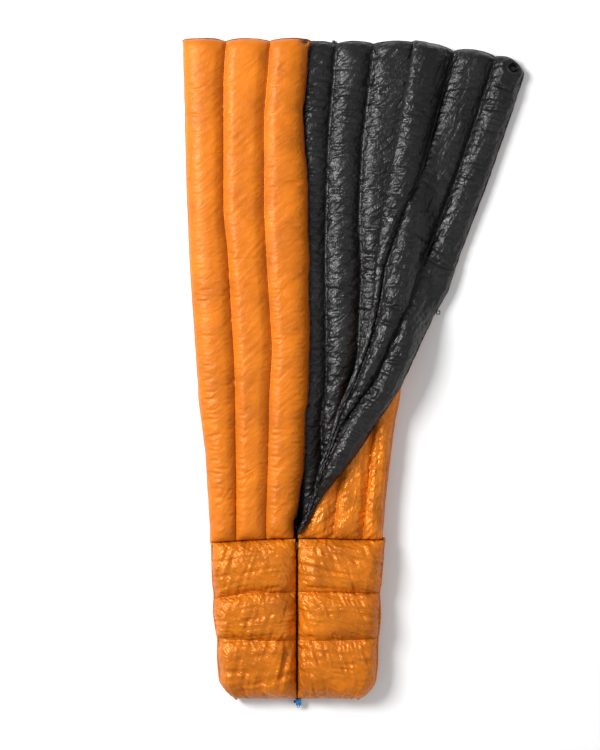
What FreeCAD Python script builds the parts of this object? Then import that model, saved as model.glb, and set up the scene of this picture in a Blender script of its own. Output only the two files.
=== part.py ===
"""Down camp quilt lying on its back panel: zipped footbox, left flap folded in, right flap rolled back.

Units are millimetres. X = 0 is the line of the footbox zipper, Y = 0 the foot hem, +Y runs to the head,
Z = 0 is the floor. The quilt has twelve lengthwise down chambers: three in the left flap, six in the back
panel and three in the right flap. The footbox has three crosswise rows. Every soft piece is a plain solid.
"""
import FreeCAD, Part
import math
import os

V = FreeCAD.Vector

# ---- driving dimensions -------------------------------------------------------------------------------
QUILT_LENGTH = 1981.0
KNEE_Y = 479.0                              # top seam of the footbox, where the flaps begin
ROW_SEAMS_Y = (12.0, 182.0, 326.0, KNEE_Y)  # foot hem seam, two row seams, knee seam
HEM_DEPTH = 12.0
LOFT = 46.0                                 # thickness of one filled layer
TOE_LOFT = 26.0                             # the footbox's under layer thins to this at the foot hem
LAYER_GAP = 8.0                             # room for the sleeper between the layers, lying flat
FOLD_Z = LOFT + LAYER_GAP / 2               # height of the fold on both sides
SEAM_RATIO = 0.4                            # layer height left at a sewn-through baffle seam
EDGE_HALF = 3.4                             # half height of a panel's edge
FABRIC = 0.8
WALL = 0.6                                  # baffle wall
EASE = 0.5                                  # clearance between fill and fabric
HINGE_EASE = 1.5                            # clear of a fold line on each side

# plan lines, as (y, x) points from foot to head
LEFT_FOLD = ((KNEE_Y, -259.0), (QUILT_LENGTH, -344.0))
RIGHT_SIDE = ((KNEE_Y, 260.0), (607.0, 269.0), (826.0, 293.0), (934.0, 315.0), (QUILT_LENGTH, 352.0))
LEFT_FREE_EDGE = ((KNEE_Y, 0.0), (690.0, 20.0), (900.0, 30.0), (QUILT_LENGTH, 32.0))
LEFT_SEAM_32 = ((KNEE_Y, -184.0), (QUILT_LENGTH, -214.0))
LEFT_SEAM_21 = ((KNEE_Y, -92.0), (QUILT_LENGTH, -92.0))
ROLL_START_Y = 934.0                        # above it the right flap turns, below it stays rolled
ROLL_FOLD = ((KNEE_Y, 0.0), (600.0, 44.0), (760.0, 90.0), (ROLL_START_Y, 144.0), (1975.0, 350.0))
ROLL_FOLD_Z = ((ROLL_START_Y, 100.0), (1975.0, 56.0))
ROLL_EDGE = ((KNEE_Y, 0.0), (600.0, 75.0), (748.0, 184.0), (ROLL_START_Y, 309.0), (1180.0, 425.0),
             (1454.0, 537.0), (1714.0, 620.0), (1900.0, 670.0))
ROLL_SEAM_12 = ((KNEE_Y, -90.0), (748.0, 88.0), (ROLL_START_Y, 206.0), (1180.0, 311.0), (1454.0, 433.0),
                (1714.0, 521.0), (1960.0, 598.0))
ROLL_SEAM_11 = ((1180.0, 202.0), (1454.0, 316.0), (1714.0, 408.0), (1975.0, 478.0))
FOOT_HALF_WIDTH = ((0.0, 222.0), (12.0, 224.0), (182.0, 240.0), (326.0, 249.0), (KNEE_Y, 259.0))

# foot hem and drawcords
HEM_Z = 24.0
CORD_TURN = 6.0                             # the cord's radius where it goes round the foot opening's ends
CORD_D = 1.6
CORD_SPREAD = 1.1                           # half the spacing of the two strands in a cord lock
FOOT_LOCK_X = 3.5
FOOT_LOCK_TILT = 20.0
HEM_HALF_WIDTH = 186.0
HEM_END_GAP = 11.5                          # half the gap in the foot hem at the zipper's end
NECK_HEM_Z = 19.0
NECK_EYELET = V(92.0, 1976.0, 5.5)

# cord lock
LOCK_LENGTH, LOCK_THICK = 22.0, 11.0
LOCK_CLOSED_END, LOCK_OPEN_END = -9.3, 7.5   # across the cord, from the hole's middle
LOCK_START = 8.0                            # from the cord's turn to the lock
BUTTON_TRAVEL = 2.2
LOCK_HOLE_W, LOCK_HOLE_H = 6.4, 3.2

# zipper
ZIP_FOOT_Z, ZIP_KNEE_Z = 42.0, 66.0
ZIP_FOOT_Y, ZIP_KNEE_Y = 16.0, 474.0
TAPE_INNER, TAPE_OUTER, TAPE_THICK = 2.9, 13.0, 0.6
TEETH_INNER, TEETH_OUTER, TEETH_THICK = 0.9, 2.7, 2.0
SLIDER_LENGTH, SLIDER_HALF = 9.0, 3.9
PULL_LENGTH, PULL_WIDTH = 17.0, 5.0

PAD_LOOP = 12.0
SNAP_R = 6.5


# ---- helpers ------------------------------------------------------------------------------------------
def at(line, y):
    """Value of a plan line at y, straight between its points and straight on past its ends."""
    points = list(line)
    k = 0
    while k < len(points) - 2 and y > points[k + 1][0]:
        k += 1
    (y0, x0), (y1, x1) = points[k], points[k + 1]
    return x0 + (x1 - x0) * (y - y0) / (y1 - y0)


def solid_of(faces):
    shell = Part.makeShell(faces)
    shell.sewShape()
    solid = Part.makeSolid(shell)
    return solid if solid.Volume > 0 else solid.reversed()


def slab(lower, upper):
    """Closed solid between two grids of points, each a list of stations with the same points across."""
    faces = []

    def quad(a, b, c, d):
        for corners in ((a, b, c), (a, c, d)):
            faces.append(Part.Face(Part.makePolygon([*corners, corners[0]])))

    across = range(len(lower[0]) - 1)
    for i in range(len(lower) - 1):
        for j in across:
            quad(lower[i][j], lower[i + 1][j], lower[i + 1][j + 1], lower[i][j + 1])
            quad(upper[i][j], upper[i][j + 1], upper[i + 1][j + 1], upper[i + 1][j])
        for j in (0, -1):
            quad(lower[i][j], upper[i][j], upper[i + 1][j], lower[i + 1][j])
    for i in (0, -1):
        for j in across:
            quad(lower[i][j], lower[i][j + 1], upper[i][j + 1], upper[i][j])
    return solid_of(faces)


PILLOW = ((0.0, SEAM_RATIO), (0.12, 0.82), (0.3, 1.0), (0.5, 1.0), (0.7, 1.0), (0.88, 0.82))


def pillow_lines(seams, support, loft, edge_z, end=1.0):
    """Lower and upper points of one station, from the first seam to the last.

    support(x, y) is the height the layer lies at, loft(x, y) its thickness, edge_z the heights of the
    two outer edges, and end the share of the loft left where a station closes a panel."""
    lower, upper = [], []

    def add(point, z, half):
        lower.append(V(point.x, point.y, z - half))
        upper.append(V(point.x, point.y, z + half))

    for k in range(len(seams) - 1):
        for share, height in PILLOW:
            point = seams[k] + (seams[k + 1] - seams[k]) * share
            z = support(point.x, point.y) + loft(point.x, point.y) * end / 2
            if k == 0 and share == 0.0:
                add(point, edge_z[0], EDGE_HALF)
            else:
                add(point, z, max(loft(point.x, point.y) * end * height / 2, EDGE_HALF))
    add(seams[-1], edge_z[1], EDGE_HALF)
    return lower, upper


class Panel:
    """A baffled layer: two fabric sheets, walls at the inner seams and one filled chamber per gap."""

    def __init__(self, stations):
        lines = [pillow_lines(*station) for station in stations]
        self.lower = [line[0] for line in lines]
        self.upper = [line[1] for line in lines]
        self.chambers = len(stations[0][0]) - 1

    def sheet(self, low):
        line = self.lower if low else self.upper
        step = V(0, 0, FABRIC if low else -FABRIC)
        inner = [[p + step for p in row] for row in line]
        return slab(line, inner) if low else slab(inner, line)

    def fill(self, k, spare=0.0):
        """Chamber k's filling; spare is more clearance, where the fabric is steep."""
        first, last = len(PILLOW) * k, len(PILLOW) * (k + 1)
        rise = V(0, 0, FABRIC + EASE + spare)

        def inset(row, step):
            points = [p + step for p in row[first:last + 1]]
            across = V(points[-1].x - points[0].x, points[-1].y - points[0].y, 0).normalize()
            points[0] = points[0] + across * (WALL / 2 + EASE) + step * 0.5
            points[-1] = points[-1] - across * (WALL / 2 + EASE) + step * 0.5
            return points

        return slab([inset(row, rise) for row in self.lower], [inset(row, rise * -1) for row in self.upper])

    def walls(self):
        made = []
        for k in range(1, self.chambers):
            j = len(PILLOW) * k

            def pair(row, step):
                across = V(row[j + 1].x - row[j - 1].x, row[j + 1].y - row[j - 1].y, 0).normalize()
                return [row[j] + step - across * (WALL / 2), row[j] + step + across * (WALL / 2)]

            rise = V(0, 0, FABRIC + EASE)
            low = [pair(row, rise) for row in self.lower]
            high = [pair(row, rise * -1) for row in self.upper]
            made.append(slab(low, high))
        return made


def box(x, y, z):
    """Box from (low, high) pairs."""
    return Part.makeBox(x[1] - x[0], y[1] - y[0], z[1] - z[0], V(x[0], y[0], z[0]))


def cylinder(r, length, start, axis):
    return Part.makeCylinder(r, length, start, axis)


def cord_path(points):
    """Straight runs joined by tangent arcs as large as the shorter run at each point allows."""
    edges, radii, start = [], [], points[0]
    for before, corner, after in zip(points, points[1:], points[2:]):
        into, out = (corner - before), (after - corner)
        shorter = min(into.Length, out.Length)
        u, w = V(into).normalize(), V(out).normalize()
        turn = u.getAngle(w)
        back = 0.45 * shorter
        radius = back / math.tan(turn / 2)
        enter, leave = corner - u * back, corner + w * back
        bisector = (w - u).normalize()
        centre = corner + bisector * (radius / math.cos(turn / 2))
        middle = centre - bisector * radius
        edges += [Part.LineSegment(start, enter).toShape(), Part.Arc(enter, middle, leave).toShape()]
        radii.append(radius)
        start = leave
    edges.append(Part.LineSegment(start, points[-1]).toShape())
    return Part.Wire(edges), radii


def cord(name, points, diameter=CORD_D):
    wire, radii = cord_path(points)
    start = points[0]
    circle = Part.Wire(Part.makeCircle(diameter / 2, start, points[1] - start))
    tube = wire.makePipeShell([circle], True, False)
    expected = math.pi * diameter ** 2 / 4 * wire.Length
    print(f"{name}: length {wire.Length:.1f}, volume ratio {tube.Volume / expected:.4f}, "
          f"radii {min(radii):.1f} to {max(radii):.1f}")
    return tube


nodes = {}


def write(name, *solids):
    """Keeps one node; a node of several solids is a group."""
    bad = [n for n, solid in enumerate(solids) if not solid.isValid() or solid.Volume <= 0]
    if bad:
        print(f"{name}: bad solids {bad}")
    nodes[name] = solids[0] if len(solids) == 1 else Part.makeCompound(list(solids))


def export():
    """Writes one STEP file per node, with the origin on the floor at the middle of the quilt's box.

    The cord locks and their loops hang outside the quilt, so they don't count in that box."""
    whole = FreeCAD.BoundBox()
    for name, shape in nodes.items():
        if not name.startswith(("foot_cord_lock", "neck_cord_lock")) and not name.endswith("_loop_cord"):
            whole.add(shape.optimalBoundingBox(False))
    origin = V(whole.Center.x, whole.Center.y, 0)
    print(f"origin at {origin.x:.4f} {origin.y:.4f}, lowest {whole.ZMin:.4f}")
    for name, shape in nodes.items():
        shape.translate(origin * -1)
        shape.exportStep(os.path.join("parts", name + ".step"))


# ---- lie of the layers --------------------------------------------------------------------------------
def flat(height):
    return lambda x, y: height


def under_loft(x, y):
    return TOE_LOFT + (LOFT - TOE_LOFT) * min(max(y / ROW_SEAMS_Y[1], 0.0), 1.0)


def top_support(x, y):
    return under_loft(x, y) + LAYER_GAP


def fold_leg_top(x, y):
    """Top of the leg of the right flap that is folded back over the back panel."""
    rise = at(((KNEE_Y, 84.0), (ROLL_START_Y, 76.0), (1714.0, 56.0), (QUILT_LENGTH, FOLD_Z)), y)
    flat_run = at(((KNEE_Y, 12.0), (1714.0, 12.0), (1930.0, 0.0), (QUILT_LENGTH, 0.0)), y)
    past = x - at(RIGHT_SIDE, y) - flat_run
    return rise if past < 0 else max(rise * (1 - past / 68.0), 0.0)


# ---- back panel ---------------------------------------------------------------------------------------
def back_seams(y):
    left, right = at(LEFT_FOLD, y) + HINGE_EASE, at(RIGHT_SIDE, y) - HINGE_EASE
    return [V(left + (right - left) * k / 6, y, 0) for k in range(7)]


def make_back():
    edge_z = (FOLD_Z - 4.0, FOLD_Z - 8.0)
    head = QUILT_LENGTH - HEM_DEPTH
    rows = [(KNEE_Y + 3, 0.5), (KNEE_Y + 35, 1.0), (ROLL_START_Y, 1.0), (head - 45, 1.0)]
    stations = [(back_seams(y), flat(0.0), flat(LOFT), (edge_z[0] * end, edge_z[1] * end), end)
                for y, end in rows]
    low_head = NECK_HEM_Z - LOFT * 0.26 / 2
    stations.append((back_seams(head), flat(low_head), flat(LOFT), (NECK_HEM_Z + 4, NECK_HEM_Z + 4), 0.26))
    panel = Panel(stations)
    write("back_shell", panel.sheet(low=True))
    write("back_lining", panel.sheet(low=False))
    write("back_baffle_walls", *panel.walls())
    for k in range(panel.chambers):
        write(f"back_down_{k + 1}", panel.fill(k))


def make_back_head_hem():
    y0, y1 = QUILT_LENGTH - HEM_DEPTH + 0.3, QUILT_LENGTH
    x0, x1 = at(LEFT_FOLD, y1) + HINGE_EASE, at(RIGHT_SIDE, y1) - HINGE_EASE
    hem = box((x0, x1), (y0, y1), (NECK_HEM_Z - EDGE_HALF, NECK_HEM_Z + EDGE_HALF))
    hem = hem.cut(cylinder(CORD_D / 2 + 0.4, x1 - x0 + 2, V(x0 - 1, NECK_EYELET.y, NECK_HEM_Z), V(1, 0, 0)))
    write("back_head_hem", hem)
    cord_hidden = cylinder(CORD_D / 2, x1 - x0 - 8, V(x0 + 4, NECK_EYELET.y, NECK_HEM_Z), V(1, 0, 0))
    write("neck_drawcord", cord_hidden)


# ---- left flap ----------------------------------------------------------------------------------------
FLAP_Z = LOFT + LAYER_GAP


def left_flap_seams(y):
    return [V(at(LEFT_FOLD, y) + HINGE_EASE, y, 0), V(at(LEFT_SEAM_32, y), y, 0),
            V(at(LEFT_SEAM_21, y), y, 0), V(at(LEFT_FREE_EDGE, y) - 8.0, y, 0)]


def make_left_flap():
    head = QUILT_LENGTH - HEM_DEPTH
    edge_z = (FOLD_Z + 4.2, FLAP_Z + 8.0)
    rows = [(KNEE_Y + 6, 0.3), (KNEE_Y + 45, 1.0), (head - 45, 1.0), (head, 0.26)]
    panel = Panel([(left_flap_seams(y), flat(FLAP_Z), flat(LOFT), edge_z, end) for y, end in rows])
    write("left_flap_lining", panel.sheet(low=True))
    write("left_flap_shell", panel.sheet(low=False))
    write("left_flap_baffle_walls", *panel.walls())
    for k, number in enumerate((3, 2, 1)):
        write(f"left_flap_down_{number}", panel.fill(k))

    z = FLAP_Z + 8.0
    start, corner = KNEE_Y + 6, V(at(LEFT_FREE_EDGE, head) - 7.7, head + 0.3, z)
    edge_y = (start, 690.0, 900.0, head)
    low = [[V(at(LEFT_FREE_EDGE, y) - 7.7, y, z - EDGE_HALF), V(at(LEFT_FREE_EDGE, y), y, z - EDGE_HALF)]
           for y in edge_y]
    high = [[p + V(0, 0, 2 * EDGE_HALF) for p in row] for row in low]
    side = slab(low, high)
    head_z = (z - EDGE_HALF, z + EDGE_HALF)
    top = box((at(LEFT_FOLD, QUILT_LENGTH) + HINGE_EASE, corner.x + 7.7), (corner.y, QUILT_LENGTH), head_z)
    snap_at = V(corner.x + 1.0, QUILT_LENGTH - 6.0, z)
    top = top.cut(cylinder(2.3, 20, snap_at - V(0, 0, 10), V(0, 0, 1)))
    write("left_flap_hem", side, top)
    write("left_neck_snap_socket", snap(snap_at, False))
    loop_y = 1239.0
    write("left_pad_loop", pad_loop(V(at(LEFT_FREE_EDGE, loop_y) + 0.3, loop_y, z)))


def snap(centre, stud, half=EDGE_HALF):
    """Press snap through a hem: a cap above, a post and a ring (socket) or a ball stud below."""
    top = cylinder(SNAP_R, 1.6, centre + V(0, 0, half + 0.1), V(0, 0, 1))
    post = cylinder(2.0, 2 * half + 0.8, centre - V(0, 0, half + 0.4), V(0, 0, 1))
    base = cylinder(SNAP_R - 1.0, 1.2, centre - V(0, 0, half + 1.3), V(0, 0, 1))
    body = top.fuse([post, base])
    if stud:
        return body.fuse(cylinder(1.9, 1.8, centre + V(0, 0, half + 1.5), V(0, 0, 1))).removeSplitter()
    return body.cut(cylinder(1.4, 1.2, centre - V(0, 0, half + 1.4), V(0, 0, 1))).removeSplitter()


def pad_loop(start):
    """Flat webbing ring for a pad strap, sewn on at the hem it stands out from in +X."""
    half, band, thick = PAD_LOOP / 2, 2.4, 2.0
    ring = box((start.x, start.x + PAD_LOOP), (start.y - half, start.y + half),
               (start.z - thick / 2, start.z + thick / 2))
    hole = box((start.x + band, start.x + PAD_LOOP - band), (start.y - half + band, start.y + half - band),
               (start.z - thick, start.z + thick))
    return ring.cut(hole)


# ---- right flap, above the rolled part ----------------------------------------------------------------
HEAD_DROP = 0.36     # the right flap's head edge runs back towards the free corner


def right_head_y(x):
    past = max(x - 470.0, 0.0)
    return QUILT_LENGTH - 8.0 - HEM_DEPTH - HEAD_DROP * past


def right_flap_station(names, y, end, inset):
    """Seam points of the named lines at y, or along the head edge when y is None."""
    seams = []
    for line in names:
        if y is None:
            guess = 1960.0
            for _ in range(3):
                guess = right_head_y(at(line, guess)) - inset
            seams.append(V(at(line, guess), guess, 0))
        else:
            seams.append(V(at(line, y), y, 0))
    return seams


FOLD_CLEAR = 5.0
FOLD_LINE = tuple((y, x + FOLD_CLEAR) for y, x in ROLL_FOLD)
EDGE_LINE = tuple((y, x - 8.0) for y, x in ROLL_EDGE)


def flap_lie(x, y):
    on_leg = 6.0 if x < at(RIGHT_SIDE, y) + 14.0 else 0.4
    return fold_leg_top(x, y) + on_leg


def flap_loft(x, y):
    """The layer is pinched where it turns over the fold."""
    return min(LOFT, 12.0 + 0.34 * max(x - at(ROLL_FOLD, y), 0.0))


def fold_edge_z(y):
    return at(ROLL_FOLD_Z, y) - at(((ROLL_START_Y, 0.0), (1975.0, 6.0)), y)


def right_edge_z(y):
    return at(((ROLL_START_Y, 84.0), (1180.0, 14.0), (QUILT_LENGTH, 12.0)), y)


def right_flap_panel(names, rows, first_on_fold):
    stations = []
    for y, end, inset in rows:
        seams = right_flap_station(names, y, end, inset)
        first, last = seams[0], seams[-1]
        left = flap_lie(first.x, first.y) + flap_loft(first.x, first.y) * end / 2
        if first_on_fold(y):
            left = fold_edge_z(first.y)
        right = flap_lie(last.x, last.y) + flap_loft(last.x, last.y) * end / 2
        if names[-1] is EDGE_LINE:
            right = right_edge_z(last.y)
        stations.append((seams, flap_lie, flap_loft, (left, right), end))
    return Panel(stations)


def make_right_flap():
    head = [(None, 1.0, 40.0), (None, 0.2, 0.0)]
    seam_11 = ((ROLL_START_Y, at(FOLD_LINE, ROLL_START_Y)), (1180.0, at(FOLD_LINE, 1180.0) + 9.0))
    seam_11 += ROLL_SEAM_11[1:]
    low_y = [(ROLL_START_Y + 2, 1.0, 0), (1015.0, 1.0, 0), (1097.0, 1.0, 0)]
    high_y = [(y, 1.0, 0) for y in (1180.0, 1270.0, 1360.0, 1454.0, 1584.0, 1714.0, 1820.0)]
    outer_rows = low_y + high_y + head
    outer = right_flap_panel((seam_11, ROLL_SEAM_12, EDGE_LINE), outer_rows,
                             lambda y: y is not None and y < 1000.0)
    inner_rows = high_y + head
    seam_11_left = tuple((y, x - 0.6) for y, x in seam_11)
    inner = right_flap_panel((FOLD_LINE, seam_11_left), inner_rows, lambda y: True)
    write("right_flap_shell", outer.sheet(low=True), inner.sheet(low=True))
    write("right_flap_lining", outer.sheet(low=False), inner.sheet(low=False))
    write("right_flap_baffle_walls", *outer.walls())
    write("right_flap_down_10", inner.fill(0, spare=1.0))
    write("right_flap_down_11", outer.fill(0, spare=1.0))
    write("right_flap_down_12", outer.fill(1, spare=2.0))
    make_right_hem(outer, inner)


def make_right_hem(outer, inner):
    edge = [(ROLL_START_Y + 2), 1180.0, 1454.0, 1714.0, 1885.0]
    low = []
    for y in edge:
        x, z = at(EDGE_LINE, y) + 0.3, right_edge_z(y) - EDGE_HALF
        low.append([V(x, y, z), V(x + 7.7, y, z)])
    high = [[p + V(0, 0, 2 * EDGE_HALF) for p in row] for row in low]
    side = slab(low, high)

    head_low, head_high = [], []
    for panel in (inner, outer):
        for j in range(0, len(panel.lower[-1]), len(PILLOW)):
            p = panel.lower[-1][j]
            middle = (p.z + panel.upper[-1][j].z) / 2
            if head_low and abs(head_low[-1][0].x - p.x) < 5.0:
                continue
            rows = [V(p.x, p.y + 0.4, middle - 3.0), V(p.x, p.y + HEM_DEPTH, middle - 3.0)]
            rows = [V(q.x, q.y, max(q.z, 0.4)) for q in rows]
            head_low.append(rows)
            head_high.append([q + V(0, 0, 6.0) for q in rows])
    top = slab(head_low, head_high)
    corner = V(at(EDGE_LINE, 1890.0) - 6.0, 0, 0)
    last, before = head_low[-1], head_low[-2]
    share = (corner.x - before[0].x) / (last[0].x - before[0].x)
    middle = before[0] + (last[0] - before[0]) * share
    snap_at = V(corner.x, middle.y + HEM_DEPTH / 2, middle.z + 3.0)
    top = top.cut(cylinder(2.3, 20, snap_at - V(0, 0, 10), V(0, 0, 1)))
    write("right_flap_hem", side, top)
    write("right_neck_snap_stud", snap(snap_at, True, half=4.8))
    loop_y = 1164.0
    write("right_pad_loop", pad_loop(V(at(ROLL_EDGE, loop_y) + 3.5, loop_y, right_edge_z(loop_y))))


# ---- right flap, the part that stays rolled: a leg folded back over the back panel and a strip on it --
def fold_pieces():
    """One-chamber panels of the leg and the strip, as (panel, seam kinds) in order."""
    pitch = ((KNEE_Y, 88.0), (ROLL_START_Y, 108.0), (QUILT_LENGTH, 110.0))
    leg_low = LOFT + 1.0

    def leg_loft(x, y):
        return fold_leg_top(x, y) - leg_low

    def from_side(k, y):
        return max(at(RIGHT_SIDE, y) - HINGE_EASE - k * at(pitch, y), at(ROLL_FOLD, y) + 2.0)

    def leg(k, rows):
        stations = []
        for y, end in rows:
            x0, x1 = from_side(k, y) + (0.4 if k < 3 else 0.0), from_side(k - 1, y)
            seams = [V(x0, y, 0), V(x1, y, 0)]
            edge = leg_low + leg_loft(x0, y) * end / 2
            outer = FOLD_Z + 1.5 if k == 1 else leg_low + leg_loft(x1, y) * end / 2
            stations.append((seams, flat(leg_low), leg_loft, (edge, max(outer, leg_low + EDGE_HALF)), end))
        return Panel(stations)

    knee = [(KNEE_Y + 6, 0.3), (KNEE_Y + 45, 1.0)]
    legs = [leg(1, knee + [(ROLL_START_Y, 1.0), (1454.0, 1.0), (1780.0, 1.0)]),
            leg(2, knee + [(ROLL_START_Y, 1.0), (1130.0, 1.0)]),
            leg(3, knee + [(640.0, 1.0)])]

    def strip(left, right, rows):
        stations = []
        for y, end in rows:
            seams = [V(left(y), y, 0), V(right(y), y, 0)]
            z = fold_leg_top(left(y), y) + 1.0 + LOFT * end / 2
            stations.append((seams, lambda x, y: fold_leg_top(x, y) + 1.0, flat(LOFT), (z, z), end))
        return Panel(stations)

    strips = [strip(lambda y: max(at(ROLL_SEAM_12, y), at(ROLL_FOLD, y)) + 2.0,
                    lambda y: at(ROLL_EDGE, y) - 8.0,
                    [(612.0, 0.35), (748.0, 0.9), (ROLL_START_Y - 1, 1.0)]),
              strip(lambda y: at(ROLL_FOLD, y) + 2.0, lambda y: at(ROLL_SEAM_12, y) + 1.4,
                    [(800.0, 0.9), (ROLL_START_Y - 1, 1.0)])]
    return legs, strips


def make_fold():
    legs, strips = fold_pieces()
    write("right_fold_shell", *[p.sheet(low=False) for p in legs], *[p.sheet(low=True) for p in strips])
    write("right_fold_lining", *[p.sheet(low=True) for p in legs], *[p.sheet(low=False) for p in strips])
    write("right_fold_down", *[p.fill(0) for p in legs + strips])
    low = []
    for y in (560.0, 748.0, ROLL_START_Y - 1):
        x = at(ROLL_EDGE, y) - 7.6
        z = fold_leg_top(x, y) + 8.0
        low.append([V(x, y, z), V(x + 7.6, y, z)])
    write("right_fold_hem", slab(low, [[p + V(0, 0, 6.0) for p in row] for row in low]))


# ---- footbox ------------------------------------------------------------------------------------------
def zip_z(y):
    return ZIP_FOOT_Z + (ZIP_KNEE_Z - ZIP_FOOT_Z) * (y - ZIP_FOOT_Y) / (ZIP_KNEE_Y - ZIP_FOOT_Y)


def row_panel(shares, support, loft, side_z, hem_z):
    """Three crosswise rows; shares are (share of half width or fixed x, share of loft, is a fixed x)."""
    stations = []
    for share, end, fixed in shares:
        seams = []
        for y in ROW_SEAMS_Y:
            half = at(FOOT_HALF_WIDTH, y) - (36.0 if y == ROW_SEAMS_Y[0] else 0.0)
            seams.append(V(share if fixed else share * half, y, 0))
        base = (lambda x, y, s=support, e=end: side_z(x, y) - loft(x, y) * e / 2) if end < 1 else support
        top_edge = base(seams[-1].x, KNEE_Y) + loft(0, KNEE_Y) * end / 2
        stations.append((seams, base, loft, (hem_z, top_edge), end))
    return Panel(stations)


def make_footbox():
    under = row_panel([(-1.0, 0.25, False), (-0.84, 1.0, False), (0.0, 1.0, False), (0.84, 1.0, False),
                       (1.0, 0.25, False)],
                      flat(0.0), under_loft, lambda x, y: under_loft(x, y) - 2.0, HEM_Z - CORD_TURN)
    write("footbox_under_shell", under.sheet(low=True))
    write("footbox_under_lining", under.sheet(low=False))
    write("footbox_under_down", *[under.fill(k) for k in range(3)])

    def edge_height(x, y):
        return zip_z(y) if abs(x) < TAPE_OUTER + 5 else under_loft(x, y) + 10.0

    walls = under.walls()
    for side, name in ((-1, "left"), (1, "right")):
        shares = [(side * 1.0, 0.22, False), (side * 0.84, 1.0, False), (side * 48.0, 1.0, True),
                  (side * (TAPE_OUTER + 0.4), 0.18, True)]
        half = row_panel(shares, top_support, flat(LOFT), edge_height, HEM_Z + CORD_TURN)
        write(f"footbox_{name}_lining", half.sheet(low=True))
        write(f"footbox_{name}_shell", half.sheet(low=False))
        write(f"footbox_{name}_down", *[half.fill(k) for k in range(3)])
        walls += half.walls()
    write("footbox_baffle_walls", *walls)


def make_foot_hem():
    """Drawcord channel round the foot opening, open on top at the zipper's end, with its cord inside."""
    y0, y1 = 0.0, HEM_DEPTH - 0.4
    reach = HEM_HALF_WIDTH

    def ring(grow):
        r = CORD_TURN + grow
        middle = box((-reach, reach), (y0, y1), (HEM_Z - r, HEM_Z + r))
        ends = [cylinder(r, y1 - y0, V(x, y0, HEM_Z), V(0, 1, 0)) for x in (-reach, reach)]
        return middle.fuse(ends).removeSplitter()

    gap = box((FOOT_LOCK_X - HEM_END_GAP, FOOT_LOCK_X + HEM_END_GAP), (y0 - 1, y1 + 1), (HEM_Z, HEM_Z + 20))
    hem = ring(2.2).cut(ring(-2.2)).cut(gap)
    start = V(FOOT_LOCK_X - HEM_END_GAP, y1 / 2, HEM_Z + CORD_TURN)
    end = V(FOOT_LOCK_X + HEM_END_GAP, y1 / 2, HEM_Z + CORD_TURN)
    left, right = V(-reach, start.y, HEM_Z), V(reach, start.y, HEM_Z)
    up = V(0, 0, CORD_TURN)
    edges = [Part.LineSegment(start, left + up).toShape(),
             Part.Arc(left + up, left - V(CORD_TURN, 0, 0), left - up).toShape(),
             Part.LineSegment(left - up, right - up).toShape(),
             Part.Arc(right - up, right + V(CORD_TURN, 0, 0), right + up).toShape(),
             Part.LineSegment(right + up, end).toShape()]

    def along(radius):
        circle = Part.Wire(Part.makeCircle(radius, start, V(-1, 0, 0)))
        return Part.Wire(edges).makePipeShell([circle], True, False)

    write("foot_hem", hem.cut(along(CORD_D / 2 + 0.4)))
    write("foot_drawcord", along(CORD_D / 2))
    return start, end


# ---- zipper -------------------------------------------------------------------------------------------
def make_zipper():
    along = V(0, ZIP_KNEE_Y - ZIP_FOOT_Y, ZIP_KNEE_Z - ZIP_FOOT_Z)
    slope = math.degrees(math.atan2(along.z, along.y))
    place = FreeCAD.Placement(V(0, ZIP_FOOT_Y, ZIP_FOOT_Z), FreeCAD.Rotation(V(1, 0, 0), slope))
    length = along.Length

    def put(name, *solids):
        for solid in solids:
            solid.Placement = place.multiply(solid.Placement)
        write(name, *solids)

    for side, name in ((-1, "left"), (1, "right")):
        def span(a, b, side=side):
            return tuple(sorted((side * a, side * b)))
        tape_z = (-TAPE_THICK / 2, TAPE_THICK / 2)
        put(f"zipper_tape_{name}", box(span(TAPE_INNER, TAPE_OUTER), (0, length), tape_z))
        put(f"zipper_teeth_{name}", box(span(TEETH_INNER, TEETH_OUTER), (0, length - 4),
                                        (-TEETH_THICK / 2, TEETH_THICK / 2)))

    # slider: two plates joined by a post ahead of the closed teeth, with flanges that wrap the teeth
    back, front = length - SLIDER_LENGTH, length
    plates = [box((-SLIDER_HALF, SLIDER_HALF), (back, front), z) for z in ((1.5, 2.5), (-2.5, -1.5))]
    post = box((-0.55, 0.55), (front - 3.0, front), (-1.6, 1.6))
    flanges = [box(span, (back, front), z) for span in ((-SLIDER_HALF, -3.1), (3.1, SLIDER_HALF))
               for z in ((0.7, 1.6), (-1.6, -0.7))]
    bridge = box((-1.0, 1.0), (back + 1.5, front - 1.5), (2.4, 5.2))
    bridge = bridge.cut(box((-2.0, 2.0), (back + 2.8, front - 2.8), (2.5, 4.2)))
    slider = plates[0].fuse([plates[1], post, bridge] + flanges).removeSplitter()
    put("zipper_slider", slider)
    axis_y = back + 4.5
    pull = box((-PULL_WIDTH / 2, PULL_WIDTH / 2), (axis_y - PULL_LENGTH, axis_y), (2.7, 3.9))
    window = box((-1.4, 1.4), (axis_y - 7.0, axis_y + 1.0), (2.0, 5.0))
    hole = cylinder(1.2, 4.0, V(0, axis_y - PULL_LENGTH + 3.0, 2.0), V(0, 0, 1))
    bar = cylinder(0.6, PULL_WIDTH, V(-PULL_WIDTH / 2, axis_y, 3.3), V(1, 0, 0))
    pull = pull.cut(window).cut(hole).fuse(bar).removeSplitter()
    put("zipper_pull", pull)
    world = place.multVec(V(0, axis_y, 3.3))
    print(f"pull axis {world.x:.2f} {world.y:.2f} {world.z:.2f}, slope {slope:.3f}")


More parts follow.
